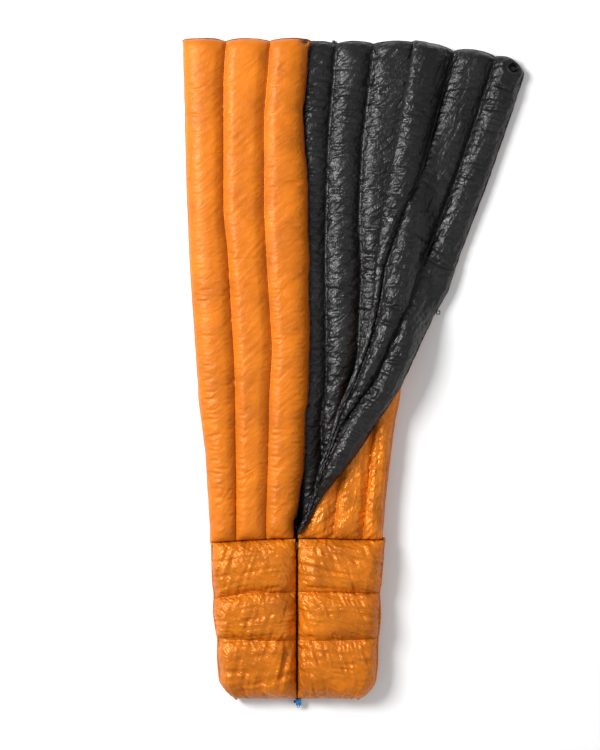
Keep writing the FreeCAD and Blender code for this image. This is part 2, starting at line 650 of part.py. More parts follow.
# ---- cord locks ---------------------------------------------------------------------------------------
def lock_pieces():
    """Cord lock in its own frame: cord along +Y from the origin, button pressed along -X."""
    y0, y1, thick = LOCK_START, LOCK_START + LOCK_LENGTH, LOCK_THICK / 2
    body = box((LOCK_CLOSED_END, LOCK_OPEN_END), (y0, y1), (-thick, thick))
    body = body.makeFillet(3.2, [e for e in body.Edges if abs(e.Length - LOCK_THICK) < 1e-6])
    body = body.makeFillet(1.5, [e for e in body.Edges if abs(abs(e.CenterOfMass.z) - thick) < 1e-6])
    middle, across = (y0 + y1) / 2, V(1, 0, 0)
    bore_end = LOCK_CLOSED_END + 1.2
    bore = cylinder(3.9, LOCK_OPEN_END - bore_end + 1, V(bore_end, middle, 0), across)
    hole_z = (-LOCK_HOLE_H / 2, LOCK_HOLE_H / 2)
    hole = box((-LOCK_HOLE_W / 2, LOCK_HOLE_W / 2), (y0 - 1, y1 + 1), hole_z)
    barrel = body.cut(bore).cut(hole)
    stem_end = -LOCK_HOLE_W / 2 - 0.6
    head_start = LOCK_OPEN_END + BUTTON_TRAVEL + 0.4
    stem = cylinder(3.6, head_start - stem_end + 0.5, V(stem_end, middle, 0), across)
    head = cylinder(4.6, 3.0, V(head_start, middle, 0), across)
    slot = box((-2.9, 2.9 + BUTTON_TRAVEL), (middle - 6, middle + 6), hole_z)
    button = stem.fuse(head).cut(slot).removeSplitter()
    spring = coil_spring(bore_end + 0.3, stem_end - 0.3, middle)
    return {"barrel": barrel, "button": button, "spring": spring}


def coil_spring(x0, x1, y):
    """Three turns of wire between the bore's end and the button, as one tube."""
    coil_r, wire_d, turns, per_turn = 2.7, 0.45, 3, 8
    corner_r = coil_r / math.cos(math.pi / per_turn)
    points = []
    for n in range(turns * per_turn + 1):
        angle = 2 * math.pi * n / per_turn
        points.append(V(x0 + wire_d / 2 + (x1 - x0 - wire_d) * n / (turns * per_turn),
                        y + corner_r * math.cos(angle), corner_r * math.sin(angle)))
    return cord("spring", points, wire_d)


def loop_route(start, end):
    """Cord out of its exit, round through the lock, a small loop, and back, in the lock's frame."""
    r = 3.9
    k = r * math.tan(math.radians(22.5))
    flare = LOCK_START + LOCK_LENGTH + 0.8
    centre = flare + (r - CORD_SPREAD) + k
    half = [V(-CORD_SPREAD, 0, 0), V(-CORD_SPREAD, flare, 0), V(-r, centre - k, 0), V(-r, centre + k, 0),
            V(-k, centre + r, 0)]
    mirrored = [V(-p.x, p.y, p.z) for p in reversed(half)]
    return [start] + half + mirrored + [end]


def make_lock(name, cord_name, place, start, end):
    for piece, solid in lock_pieces().items():
        solid.Placement = place.multiply(solid.Placement)
        write(f"{name}_{piece}", solid)
    back = place.inverse()
    points = [place.multVec(p) for p in loop_route(back.multVec(start), back.multVec(end))]
    print(cord_name, [tuple(round(c, 2) for c in p) for p in points])
    write(cord_name, cord(cord_name, points))


def main():
    os.makedirs("parts", exist_ok=True)
    make_back()
    make_back_head_hem()
    make_left_flap()
    make_right_flap()
    make_fold()
    make_footbox()
    start, end = make_foot_hem()
    make_zipper()
    turn = FreeCAD.Rotation(V(1, 0, 0), FOOT_LOCK_TILT) * FreeCAD.Rotation(V(0, 0, 1), 180)
    foot = FreeCAD.Placement(V(FOOT_LOCK_X, start.y, start.z), turn)
    make_lock("foot_cord_lock", "foot_loop_cord", foot, end, start)
    button_out = FreeCAD.Rotation(V(0, 0, 1), -90) * FreeCAD.Rotation(V(0, 1, 0), 180)
    neck = FreeCAD.Placement(NECK_EYELET, button_out)
    rise = V(0, 0, NECK_HEM_Z - EDGE_HALF - NECK_EYELET.z)
    make_lock("neck_cord_lock", "neck_loop_cord", neck,
              NECK_EYELET + rise - V(0, CORD_SPREAD, 0), NECK_EYELET + rise + V(0, CORD_SPREAD, 0))
    export()


main()
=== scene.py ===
"""Looks of the camp quilt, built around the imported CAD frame.

Lengths are in millimetres in the quilt's own plan (x from the zip line, y from the foot hem, z from the
floor) until place() turns them into the frame's metres.
"""
import math

from concurrent.futures import ThreadPoolExecutor

import bmesh
import bpy
import numpy as np
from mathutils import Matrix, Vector


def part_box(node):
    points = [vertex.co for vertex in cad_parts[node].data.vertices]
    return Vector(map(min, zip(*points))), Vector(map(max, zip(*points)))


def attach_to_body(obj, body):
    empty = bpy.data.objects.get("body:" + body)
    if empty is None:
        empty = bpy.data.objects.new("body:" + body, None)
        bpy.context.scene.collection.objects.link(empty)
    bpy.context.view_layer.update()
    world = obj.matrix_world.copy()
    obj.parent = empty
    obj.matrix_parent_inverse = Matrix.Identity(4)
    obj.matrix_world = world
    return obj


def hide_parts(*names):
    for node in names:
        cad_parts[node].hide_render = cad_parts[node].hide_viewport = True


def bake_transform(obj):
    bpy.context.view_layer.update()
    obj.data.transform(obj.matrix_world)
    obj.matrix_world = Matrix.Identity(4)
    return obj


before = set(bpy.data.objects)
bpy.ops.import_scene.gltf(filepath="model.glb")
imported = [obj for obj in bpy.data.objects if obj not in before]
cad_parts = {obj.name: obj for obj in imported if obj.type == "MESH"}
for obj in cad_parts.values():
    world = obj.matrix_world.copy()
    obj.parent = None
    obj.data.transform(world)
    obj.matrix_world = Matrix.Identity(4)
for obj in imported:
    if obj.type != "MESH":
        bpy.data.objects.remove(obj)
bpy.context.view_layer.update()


# ---- places from the frame ----------------------------------------------------------------------------
def middle(node):
    low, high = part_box(node)
    return (low + high) / 2


FOOT = Vector((middle("zipper_slider").x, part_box("foot_hem")[0].y, 0.0))   # zip line at the foot hem
LENGTH = (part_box("back_head_hem")[1].y - FOOT.y) * 1000
KNEE = 479.0                       # the footbox's top seam, where the flaps begin
ROLL_TOP = 934.0                   # the right flap stays rolled below this
LOFT = 46.0
FLAP_Z = 54.0                      # underside of the folded-in left flap
FIRST_ROW = KNEE + 3.0             # where the grids of the back, the left flap and the leg begin
LAST_ROW = LENGTH - 3              # where the back and both flaps end, inside the head binding
FLAP_ROW = 500.0                   # where the grid of the rolled-back right flap begins
LEG_END = 1780.0                   # head end of the folded leg
FABRIC = 0.5                       # thickness that a sheet is drawn with
FOOT_SEAMS = (182.0, 326.0)        # crosswise seams of the footbox


def place(points):
    """Quilt millimetres to frame metres."""
    return np.asarray(points, float) * 0.001 + np.array(FOOT)


def line(*points, blur=70.0):
    """A plan line through (y, x) points, rounded at the points, as a function of y."""
    ys, xs = np.array(points, float).T
    shares = np.linspace(-0.5, 0.5, 9)

    def x_at(y):
        y = np.asarray(y, float)
        total = 0
        for share in shares:
            probe = np.clip(y + share * blur, ys[0], ys[-1])
            total = total + np.interp(probe, ys, xs)
        return total / len(shares)
    return x_at


# side folds, free edges and seams, each as (y, x) from foot to head
LEFT_SIDE = line((470, -254), (739, -270), (898, -290), (1012, -296), (1180, -308), (1305, -316),
                 (1556, -326), (1981, -337))
RIGHT_SIDE = line((470, 250), (608, 260), (826, 284), (937, 306), (1300, 318), (1640, 330), (1981, 366))
BACK_SEAMS = [line((470, -168), (1981, -226)), line((470, -84), (1981, -118)), line((470, 0), (1981, -8)),
              line((470, 84), (1077, 87), (1347, 84), (1676, 93), (1981, 118)),
              line((470, 150), (838, 129), (1018, 180), (1287, 194), (1467, 186), (1676, 197), (1981, 232))]
LEFT_SEAM_32 = line((470, -184), (608, -183), (898, -186), (1012, -189), (1200, -200), (1368, -210),
                    (1452, -221), (1870, -221), (1984, -212))
LEFT_SEAM_21 = line((470, -94), (563, -93), (739, -87), (913, -84), (1053, -75), (1284, -90),
                    (1452, -99), (1760, -99), (1889, -87), (1984, -81))
LEFT_EDGE = line((470, -8), (536, -10), (572, 3), (628, 9), (694, 21), (781, 24), (853, 23), (898, 33),
                 (1095, 39), (1254, 34), (1320, 39), (1400, 33), (1505, 33), (1589, 30), (1640, 24),
                 (1766, 17), (1800, 22), (1880, 30), (1948, 33), (1984, 44), blur=30.0)
ROLL_FOLD = line((470, -6), (494, 0), (560, 24), (626, 52), (658, 58), (718, 72), (784, 96), (871, 120),
                 (934, 150), (1077, 203), (1197, 225), (1317, 234), (1467, 254), (1676, 296), (1981, 357),
                 blur=60.0)
ROLL_EDGE = line((470, -14), (491, -4), (527, 30), (599, 66), (658, 114), (688, 141), (748, 186),
                 (853, 254), (937, 311), (1065, 371), (1167, 422), (1227, 458), (1329, 491), (1407, 521),
                 (1556, 578), (1736, 628), (1895, 671), (1981, 690), blur=40.0)
SEAM_12 = line((470, -60), (748, 70), (958, 218), (1137, 303), (1317, 381), (1556, 473), (1796, 549),
               (1981, 603))
SEAM_11 = line((900, 60), (1167, 216), (1317, 269), (1437, 308), (1556, 362), (1676, 397), (1981, 476))
FOOT_LEFT = line((-1, 180), (9, 192), (27, 214), (51, 231), (120, 237), (182, 236), (200, 240), (260, 249),
                 (320, 247), (345, 251), (420, 254), (479, 254), blur=16.0)
FOOT_RIGHT = line((-1, 180), (9, 198), (27, 221), (51, 234), (99, 240), (182, 241), (200, 244), (260, 249),
                  (320, 245), (345, 250), (420, 256), (479, 260), blur=16.0)


# ---- cloth on a grid of points ------------------------------------------------------------------------
def blurred(values, reach):
    """Each axis smoothed over about reach points."""
    kernel = np.exp(-np.linspace(-2, 2, 2 * reach + 1) ** 2)
    kernel /= kernel.sum()
    for axis in (0, 1):
        values = np.apply_along_axis(lambda row: np.convolve(row, kernel, "same"), axis, values)
    return values


def lumps(shape, reach, seed):
    """Smooth random field of unit spread."""
    field = blurred(np.random.default_rng(seed).normal(0, 1, shape), reach)
    return field / field.std()


def streaks(shape, long, short, slant, seed):
    """Random ridges of unit spread, so many points long and short, slant degrees up from the rows."""
    down, across = np.fft.fftfreq(shape[0])[:, None], np.fft.fftfreq(shape[1])[None, :]
    cosine, sine = math.cos(math.radians(slant)), math.sin(math.radians(slant))
    reach = (long * (across * cosine + down * sine)) ** 2 + (short * (down * cosine - across * sine)) ** 2
    field = np.fft.fft2(np.random.default_rng(seed).normal(0, 1, shape)) * np.exp(-20 * reach)
    field = np.fft.ifft2(field).real
    return field / field.std()


def normals(grid):
    u, v = np.zeros_like(grid), np.zeros_like(grid)
    u[:, 1:-1] = grid[:, 2:] - grid[:, :-2]
    v[1:-1] = grid[2:] - grid[:-2]
    normal = np.cross(u, v)
    return normal / (np.sqrt((normal ** 2).sum(-1, keepdims=True)) + 1e-9)


def pair(grid, rows, columns):
    """Every point, and its neighbour so many rows and columns on."""
    if columns >= 0:
        return grid[:len(grid) - rows, :grid.shape[1] - columns], grid[rows:, columns:]
    return grid[:len(grid) - rows, -columns:], grid[rows:, :grid.shape[1] + columns]


def span(grid, rows, columns):
    a, b = pair(grid, rows, columns)
    return np.sqrt(((b - a) ** 2).sum(-1))


def pull(a, b, weight_a, weight_b, rest, stiffness, rows, columns, turn):
    """Brings one half of the links in a direction back to their rest length."""
    if rows and not columns:
        pick = (np.arange(a.shape[0]) // rows % 2 == turn, slice(None))
    else:
        pick = (slice(None), np.arange(a.shape[1]) // abs(columns) % 2 == turn)
    start, end, share_a, share_b = a[pick], b[pick], weight_a[pick], weight_b[pick]
    apart = end - start
    length = np.sqrt((apart ** 2).sum(-1)) + 1e-9
    mend = apart * (stiffness * (1 - rest[pick] / length) / (share_a + share_b + 1e-6))[..., None]
    a[pick] = start + mend * share_a[..., None]
    b[pick] = end - mend * share_b[..., None]


def settle(start, free, spare, out, rounds=180, puff=0.012, stiff=0.1, floor=None, cap=7.0,
           grain=(9.0, 1.5, 35.0), seed=1, bumps=1.5, crumple=0.6):
    """Fabric with spare length (across, along) between held points, pushed outwards by the down.

    out is +1 or -1: which way the grid's normal has to be turned to point out of the chamber. grain is the
    length, width and slant of the wrinkles that it starts from, bumps their height; crumple is the height
    of the finer ridges left at the end."""
    rest = start.astype(np.float32)
    across, along = spare
    links = [(0, 1, 1.0, across), (1, 0, 1.0, along), (1, 1, 0.5, (across + along) / 2),
             (1, -1, 0.5, (across + along) / 2), (0, 2, stiff, across), (2, 0, stiff, along)]
    links = [(r, c, k, span(rest, r, c) * (1 + pair(np.broadcast_to(grow, free.shape), r, c)[0]))
             for r, c, k, grow in links]
    free = free.astype(np.float32)
    now, speed = rest.copy(), np.zeros_like(rest)
    long, short, slant = grain
    first = streaks(free.shape, long, short, slant, seed) + 0.5 * lumps(free.shape, 5, seed + 1)
    now += normals(rest) * (bumps * first.astype(np.float32) * free)[..., None]
    for _ in range(rounds):
        speed = speed * 0.85 + normals(now) * (out * puff * free[..., None])
        later = now + speed
        for rows, columns, stiffness, length in links:
            a, b = pair(later, rows, columns)
            weight_a, weight_b = pair(free, rows, columns)
            for turn in (0, 1):
                pull(a, b, weight_a, weight_b, length, stiffness, rows, columns, turn)
        if floor is not None:
            later[..., 2] = np.maximum(later[..., 2], floor)
        speed = later - now
        now = later
    shift = now - rest
    far = np.sqrt((shift ** 2).sum(-1, keepdims=True)) + 1e-9
    now = rest + shift * np.minimum(1.0, cap / far)
    ridges = 0.8 - np.abs(streaks(free.shape, long, short * 0.8, slant + 12, seed + 2))
    ridges += 0.8 - np.abs(streaks(free.shape, long * 0.7, short * 0.7, slant - 50, seed + 3))
    ridges *= np.clip(1 + 0.6 * lumps(free.shape, 9, seed + 4), 0.15, 2)
    now = now + normals(now) * (out * 0.5 * crumple * ridges * free)[..., None]
    if floor is not None:
        now[..., 2] = np.maximum(now[..., 2], floor)
    return now


# ---- shape of a filled layer --------------------------------------------------------------------------
def steps(low, high, size):
    return np.linspace(low, high, int(round((high - low) / size)) + 1)


def close(y, ends, runs):
    """Share of the thickness near the ends of a layer: (foot share, head share)."""
    share = np.ones_like(y)
    for far, end, run in zip((y - y[0], y[-1] - y), ends, runs):
        if end < 1:
            near = np.clip(far / run, 0, 1)
            share = np.minimum(share, end + (1 - end) * np.sqrt(1 - (1 - near) ** 2))
    return share


def crosswise(lines, y, least):
    """Seam places at each y, with a least share of the width for a chamber that dies out."""
    seams = np.array([np.broadcast_to(at(y), y.shape) for at in lines]).T
    widths = np.maximum(np.diff(seams, axis=1), 0)
    total = np.maximum(seams[:, -1] - seams[:, 0], 1.0)
    shares = np.maximum(widths / total[:, None], least)
    shares /= shares.sum(1)[:, None]
    places = np.cumsum(np.concatenate([np.zeros((len(y), 1)), shares], 1), 1)
    return seams[:, :1] + places * total[:, None]


def layer(lines, y, per, low, high, up, seam=0.45, ends=(0.2, 0.2), end_z=(None, None), edge_z=(None, None),
          tuck=(30.0, 30.0), least=0.12, runs=(44.0, 26.0), full=2.6):
    """One side of a lengthwise layer as a grid: rows along y, per columns to a chamber.

    low and high are the heights it lies between; edge_z the two outer edges' heights, where the surface
    comes round by 90 degrees plus tuck. runs are the lengths over which the ends close, and a larger full
    is a chamber that is flatter on top, with narrower seams."""
    seams = crosswise(lines, y, least)
    chambers = seams.shape[1] - 1
    t = np.linspace(0, 1, per + 1)
    x, z = [], []
    share = close(y, ends, runs)[:, None]
    for k in range(chambers):
        left, right = seams[:, k:k + 1], seams[:, k + 1:k + 2]
        width = right - left
        cx = left + width * t
        bottom, top = low(cx, y[:, None]), high(cx, y[:, None])
        half = np.minimum((top - bottom) / 2, 0.36 * width + 3.0) * share
        centre = (bottom + top) / 2
        centre = bottom + np.minimum(centre - bottom, half / share)
        for end, far in ((0, y - y[0]), (1, y[-1] - y)):
            if end_z[end] is not None:
                near = np.sqrt(1 - (1 - np.clip(far / (1.3 * runs[end]), 0, 1)) ** 2)[:, None]
                centre = end_z[end] + (centre - end_z[end]) * near
        lobe = seam + (1 - seam) * (1 - np.abs(2 * t - 1) ** full) ** 0.55
        cz = centre + (half if up else -half) * lobe
        for side, edge in ((0, k == 0), (1, k == chambers - 1)):
            if edge and edge_z[side] is not None:
                level = edge_z[side](y)[:, None]
                turn = np.radians(90 + np.broadcast_to(tuck[side], y.shape))[:, None]
                crest = centre + (half if up else -half)
                middle_x = left + width / 2
                rim = left if side == 0 else right
                part = np.clip(1 - 2 * t, 0, 1) if side == 0 else np.clip(2 * t - 1, 0, 1)
                angle = turn * part
                round_x = middle_x + (rim - middle_x) * np.sin(angle) / np.sin(turn)
                round_z = crest - (crest - level) * (1 - np.cos(angle)) / (1 - np.cos(turn))
                chosen = np.broadcast_to(part > 0, cx.shape)
                cx, cz = np.where(chosen, round_x, cx), np.where(chosen, round_z, cz)
        first = 0 if k == 0 else 1
        x.append(cx[:, first:])
        z.append(cz[:, first:])
    x, z = np.concatenate(x, 1), np.concatenate(z, 1)
    grid = np.stack([x, np.broadcast_to(y[:, None], x.shape), z], -1)
    free = np.ones(x.shape)
    free[:, ::per] = 0
    free[[0, -1]] = 0
    return grid, free


def knee(x):
    """The seam between the footbox and the flaps, which rises towards the left side."""
    share = np.clip(np.abs(x) / 254.0 - 0.3, 0, 1)
    return KNEE + 6.0 - np.where(x < 0, 16.0, 6.0) * share


def fit_knee(made):
    """Bends a layer's foot rows to the knee seam."""
    grid = made[0]
    y = grid[..., 1].copy()
    grid[..., 1] = y + (knee(grid[..., 0]) - y[:1]) * (1 - np.clip((y - y[:1]) / 70.0, 0, 1))


def bow_head(made, per, depth):
    """Bows a layer's head edge out between the seams."""
    grid = made[0]
    y = grid[..., 1].copy()
    share = np.arange(y.shape[1]) % per / per
    bow = depth * (np.sin(np.pi * share) ** 0.7 - 0.5)
    grid[..., 1] = y + bow * np.clip(1 - (y[-1:] - y) / 60.0, 0, 1)


# ---- pieces -------------------------------------------------------------------------------------------
def grid_mesh(name, grid, up):
    rows, columns = grid.shape[:2]
    index = np.arange(rows * columns).reshape(rows, columns)
    ring = [index[:-1, :-1], index[:-1, 1:], index[1:, 1:], index[1:, :-1]]
    faces = np.stack(ring if up else ring[::-1], -1).reshape(-1, 4)
    mesh = bpy.data.meshes.new(name)
    mesh.from_pydata(place(grid).reshape(-1, 3).tolist(), [], faces.tolist())
    mesh.polygons.foreach_set("use_smooth", np.ones(len(faces), bool))
    return mesh


def add(name, mesh, material):
    piece = bpy.data.objects.new(name, mesh)
    bpy.context.scene.collection.objects.link(piece)
    mesh.materials.append(material)
    return piece


sheets = []


def sheet(name, made, up, material, slot, nodes, body, spare=None, turned=False, **settling):
    """Notes down a sheet of fabric: its grid of points, whether its outside faces up, and how it settles.

    turned is for a grid whose rows and columns run so that its own normal points down."""
    sheets.append(dict(name=name, made=made, up=up, material=material, slot=slot, nodes=nodes, body=body,
                       spare=spare, turned=turned, settling=settling))


def settled(note):
    """The sheet's grid once its fabric has settled; a sheet without spare length stays as it is."""
    grid, free = note["made"]
    if note["spare"] is None:
        return grid
    out = 1 if note["up"] != note["turned"] else -1
    return settle(grid, free, note["spare"], out, **note["settling"])


def attach(piece, body):
    """Puts a piece on its body; a piece of the left flap (lift) or of the rolled right flap (roll) only has
    its transform baked where it lies.
    """
    if body == "roll":
        low, high = place((70.0, 640.0, 90.0)), place((144.0, 930.0, 100.0))
        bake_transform(piece)
    elif body == "lift":
        low, high = place((-130.0, 490.0, 70.0)), place((-130.0, 900.0, 70.0))
        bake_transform(piece)
    else:
        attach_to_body(piece, body)


def dress(note, grid):
    """Makes the sheet's piece and puts it on its body."""
    piece = add(note["name"] + "_cloth", grid_mesh(note["name"], grid, note["up"] != note["turned"]),
                note["material"])
    cloth = piece.modifiers.new("thickness", "SOLIDIFY")
    cloth.thickness, cloth.offset = FABRIC / 1000, -1
    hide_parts(*note["nodes"])
    attach(piece, note["body"])


def ring_mesh(rings):
    """Points and faces round rings of points, as (ring, point in the ring, xyz), with both ends shut."""
    count, sides = rings.shape[:2]
    index = np.arange(count * sides).reshape(count, sides)
    first, following = index[:-1], index[1:]
    faces = np.stack([first, np.roll(first, -1, 1), np.roll(following, -1, 1), following], -1)
    faces = faces.reshape(-1, 4).tolist() + [index[0][::-1].tolist(), index[-1].tolist()]
    return place(rings).reshape(-1, 3).tolist(), faces


def tube(path, wide, high, sides=8, across=(0, 0, 1)):
    """A band of oval section along a path, wide and high from its middle."""
    path = np.asarray(path, float)
    along = np.gradient(path, axis=0)
    side = np.cross(along, across)
    side /= np.linalg.norm(side, axis=1, keepdims=True) + 1e-9
    up = np.cross(side, along)
    up /= np.linalg.norm(up, axis=1, keepdims=True) + 1e-9
    angle = np.arange(sides) * 2 * math.pi / sides
    wide, high = (np.broadcast_to(value, len(path))[:, None, None] for value in (wide, high))
    rings = path[:, None] + side[:, None] * wide * np.cos(angle)[None, :, None]
    return ring_mesh(rings + up[:, None] * high * np.sin(angle)[None, :, None])


def join(parts):
    """Several (points, faces) as one."""
    points, faces = [], []
    for part_points, part_faces in parts:
        faces += [[k + len(points) for k in face] for face in part_faces]
        points += part_points
    return points, faces


def trim(name, part, material, body, nodes=()):
    """A piece from (points, faces), on its body, in the place of its CAD nodes."""
    mesh = bpy.data.meshes.new(name)
    mesh.from_pydata(part[0], [], part[1])
    mesh.polygons.foreach_set("use_smooth", np.ones(len(part[1]), bool))
    work = bmesh.new()
    work.from_mesh(mesh)
    bmesh.ops.recalc_face_normals(work, faces=work.faces)
    work.to_mesh(mesh)
    work.free()
    piece = add(name, mesh, material)
    if nodes:
        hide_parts(*nodes)
    attach(piece, body)
    return piece


def stitches(paths, lift, length=3.4, gap=1.4, thick=0.45):
    """Thread dashes along paths, lifted off the fabric."""
    parts = []
    for path in paths:
        path = np.asarray(path, float) + np.array([0, 0, lift])
        place_on = np.concatenate([[0], np.cumsum(np.linalg.norm(np.diff(path, axis=0), axis=1))])
        for begin in np.arange(1.0, place_on[-1] - length, length + gap):
            spots = np.array([begin, begin + length / 2, begin + length])
            dash = np.stack([np.interp(spots, place_on, path[:, axis]) for axis in range(3)], -1)
            dash[1, 2] += 0.3
            parts.append(tube(dash, thick, thick, sides=4))
    return join(parts)


# ---- materials ----------------------------------------------------------------------------------------
def new_material(name, base, rough, specular=0.5, metallic=0.0):
    material = bpy.data.materials.new(name)
    material.use_nodes = True
    shader = material.node_tree.nodes["Principled BSDF"]
    shader.inputs["Base Color"].default_value = (*base, 1)
    shader.inputs["Roughness"].default_value = rough
    shader.inputs["Specular IOR Level"].default_value = specular
    shader.inputs["Metallic"].default_value = metallic
    return material


def coordinates(material):
    return material.node_tree.nodes.new("ShaderNodeTexCoord").outputs["Object"]


def noise(material, source, scale, detail=3.0, stretch=(1, 1, 1), distortion=0.0):
    nodes, links = material.node_tree.nodes, material.node_tree.links
    mapping = nodes.new("ShaderNodeMapping")
    mapping.inputs["Scale"].default_value = stretch
    texture = nodes.new("ShaderNodeTexNoise")
    texture.inputs["Scale"].default_value = scale
    texture.inputs["Detail"].default_value = detail
    texture.inputs["Distortion"].default_value = distortion
    links.new(source, mapping.inputs["Vector"])
    links.new(mapping.outputs["Vector"], texture.inputs["Vector"])
    return texture.outputs["Fac"]


def weave(material, source, pitch):
    """Two crossed bands of thread, pitch in metres."""
    nodes, links = material.node_tree.nodes, material.node_tree.links
    bands = []
    for direction in ("X", "Y"):
        wave = nodes.new("ShaderNodeTexWave")
        wave.bands_direction = direction
        wave.inputs["Scale"].default_value = 0.314 / pitch
        links.new(source, wave.inputs["Vector"])
        bands.append(wave.outputs["Fac"])
    blend = nodes.new("ShaderNodeMath")
    blend.operation = "MAXIMUM"
    links.new(bands[0], blend.inputs[0])
    links.new(bands[1], blend.inputs[1])
    return blend.outputs[0]


def bump(material, height, strength, distance, below=None):
    nodes, links = material.node_tree.nodes, material.node_tree.links
    node = nodes.new("ShaderNodeBump")
    node.inputs["Strength"].default_value = strength
    node.inputs["Distance"].default_value = distance
    links.new(height, node.inputs["Height"])
    if below is not None:
        links.new(below, node.inputs["Normal"])
    return node.outputs["Normal"]


def ramp(material, source, stops, target):
    nodes, links = material.node_tree.nodes, material.node_tree.links
    node = nodes.new("ShaderNodeValToRGB")
    ends = node.color_ramp.elements
    for element, (spot, value) in zip(ends, (stops[0], stops[-1])):
        element.position, element.color = spot, value
    for spot, value in stops[1:-1]:
        ends.new(spot).color = value
    links.new(source, node.inputs["Fac"])
    links.new(node.outputs["Color"], material.node_tree.nodes["Principled BSDF"].inputs[target])


def grey(value):
    return (value, value, value, 1)


def set_normal(material, normal):
    shader = material.node_tree.nodes["Principled BSDF"]
    material.node_tree.links.new(normal, shader.inputs["Normal"])


def creases(material, source, scale, slant, long, detail=2.0):
    """Height of sharp-crested folds that run slant degrees up from x."""
    nodes, links = material.node_tree.nodes, material.node_tree.links
    mapping = nodes.new("ShaderNodeMapping")
    mapping.vector_type = "TEXTURE"
    mapping.inputs["Rotation"].default_value = (0, 0, math.radians(slant))
    mapping.inputs["Scale"].default_value = (long, 1, 1)
    texture = nodes.new("ShaderNodeTexNoise")
    texture.inputs["Scale"].default_value = scale
    texture.inputs["Detail"].default_value = detail
    texture.inputs["Distortion"].default_value = 0.35
    links.new(source, mapping.inputs["Vector"])
    links.new(mapping.outputs["Vector"], texture.inputs["Vector"])
    value = texture.outputs["Fac"]
    for operation, amount, more in (("SUBTRACT", 0.5, 0), ("ABSOLUTE", 0, 0), ("MULTIPLY_ADD", -4.0, 1.0)):
        node = nodes.new("ShaderNodeMath")
        node.operation = operation
        node.inputs[1].default_value, node.inputs[2].default_value = amount, more
        links.new(value, node.inputs[0])
        value = node.outputs[0]
    return value


def nylon(name, dark, light, rough, crease, slant, specular=0.3, lustre=0.0):
    """Thin calendered nylon: ripstop threads, sharp little creases and patchy colour.

    lustre is the share of the light that the dyed fibre itself mirrors, in its own colour."""
    material = new_material(name, light, rough, specular=specular, metallic=lustre)
    source = coordinates(material)
    ramp(material, noise(material, source, 11, 6), [(0.32, (*dark, 1)), (0.66, (*light, 1))], "Base Color")
    ramp(material, noise(material, source, 40, 4), [(0.3, grey(rough - 0.08)), (0.7, grey(rough + 0.1))],
         "Roughness")
    fine = bump(material, creases(material, source, 120, slant + 60, 2.0), 0.7, crease * 0.3)
    folds = bump(material, creases(material, source, 44, slant, 3.0), 0.8, crease, fine)
    wide = bump(material, creases(material, source, 20, slant - 25, 2.4), 0.6, crease * 1.5, folds)
    threads = bump(material, weave(material, source, 0.0024), 0.2, 0.0001, wide)
    set_normal(material, threads)
    return material


def woven(name, base, pitch, rough=0.8, depth=0.0002):
    """Tape, webbing, thread or braid: crossed bands of yarn and uneven dye."""
    material = new_material(name, base, rough, specular=0.2)
    source = coordinates(material)
    dark = tuple(0.55 * channel for channel in base)
    ramp(material, noise(material, source, 300, 3), [(0.3, (*dark, 1)), (0.7, (*base, 1))], "Base Color")
    set_normal(material, bump(material, weave(material, source, pitch), 0.8, depth))
    return material


def moulded(name, dark, light, rough, scale=90.0):
    """Moulded plastic: a fine grain, flow marks and rubbed patches."""
    material = new_material(name, light, rough)
    source = coordinates(material)
    ramp(material, noise(material, source, scale, 3, distortion=0.8), [(0.4, (*dark, 1)), (0.6, (*light, 1))],
         "Base Color")
    ramp(material, noise(material, source, 400, 3), [(0.3, grey(rough - 0.1)), (0.7, grey(rough + 0.12))],
         "Roughness")
    set_normal(material, bump(material, noise(material, source, 1500, 2), 0.3, 0.00005))
    return material


def metal(name, base, rough):
    """Drawn or cast metal with fine scratches along x."""
    material = new_material(name, base, rough, metallic=1.0)
    source = coordinates(material)
    scratches = noise(material, source, 700, 4, (0.2, 1, 1))
    ramp(material, scratches, [(0.3, grey(rough - 0.1)), (0.7, grey(rough + 0.15))], "Roughness")
    set_normal(material, bump(material, noise(material, source, 900, 3, (0.15, 1, 1)), 0.3, 0.00004))
    return material


ORANGE = nylon("orange nylon", (0.49, 0.122, 0.004), (0.66, 0.173, 0.006), 0.46, 0.0011, 35, 0.22, 0.06)
FOOT_ORANGE = nylon("orange nylon footbox", (0.46, 0.118, 0.003), (0.69, 0.185, 0.005), 0.38, 0.0030, -38,
                    0.3, 0.24)
LEG_ORANGE = nylon("orange nylon leg", (0.46, 0.118, 0.003), (0.72, 0.195, 0.006), 0.34, 0.0030, 80,
                   0.3, 0.28)
CHARCOAL = nylon("charcoal nylon", (0.003, 0.003, 0.0035), (0.009, 0.009, 0.010), 0.36, 0.0028, 35, 0.38)
FLAP_CHARCOAL = nylon("charcoal nylon flap", (0.003, 0.003, 0.0035), (0.009, 0.009, 0.010), 0.36, 0.0028,
                      60, 0.38)
BINDING = nylon("orange binding", (0.20, 0.035, 0.003), (0.36, 0.07, 0.005), 0.5, 0.0008, 80, 0.2)
DARK_BINDING = nylon("charcoal binding", (0.006, 0.006, 0.007), (0.018, 0.018, 0.02), 0.5, 0.0008, 20, 0.3)
# thread along the orange seams: real stitching, but its dark brown is partly painted shade of the seam
# valleys
SEAM_SHADE_THREAD = woven("brown thread with painted seam shade", (0.10, 0.022, 0.004), 0.0006)
BLACK_THREAD = woven("black thread", (0.012, 0.012, 0.013), 0.0006)
TAPE = woven("zipper tape", (0.46, 0.125, 0.014), 0.0011)
COIL = moulded("zipper coil nylon", (0.28, 0.085, 0.014), (0.42, 0.13, 0.020), 0.4)
BRASS = metal("dark zipper metal", (0.20, 0.12, 0.06), 0.38)
STEEL = metal("spring steel", (0.55, 0.55, 0.56), 0.3)
BLUE = moulded("blue lock plastic", (0.010, 0.05, 0.22), (0.03, 0.27, 0.70), 0.28, 160.0)
DARK_BLUE = moulded("dark lock button", (0.004, 0.012, 0.05), (0.01, 0.03, 0.11), 0.32)
SNAP = moulded("black snap plastic", (0.01, 0.01, 0.01), (0.025, 0.024, 0.022), 0.35)
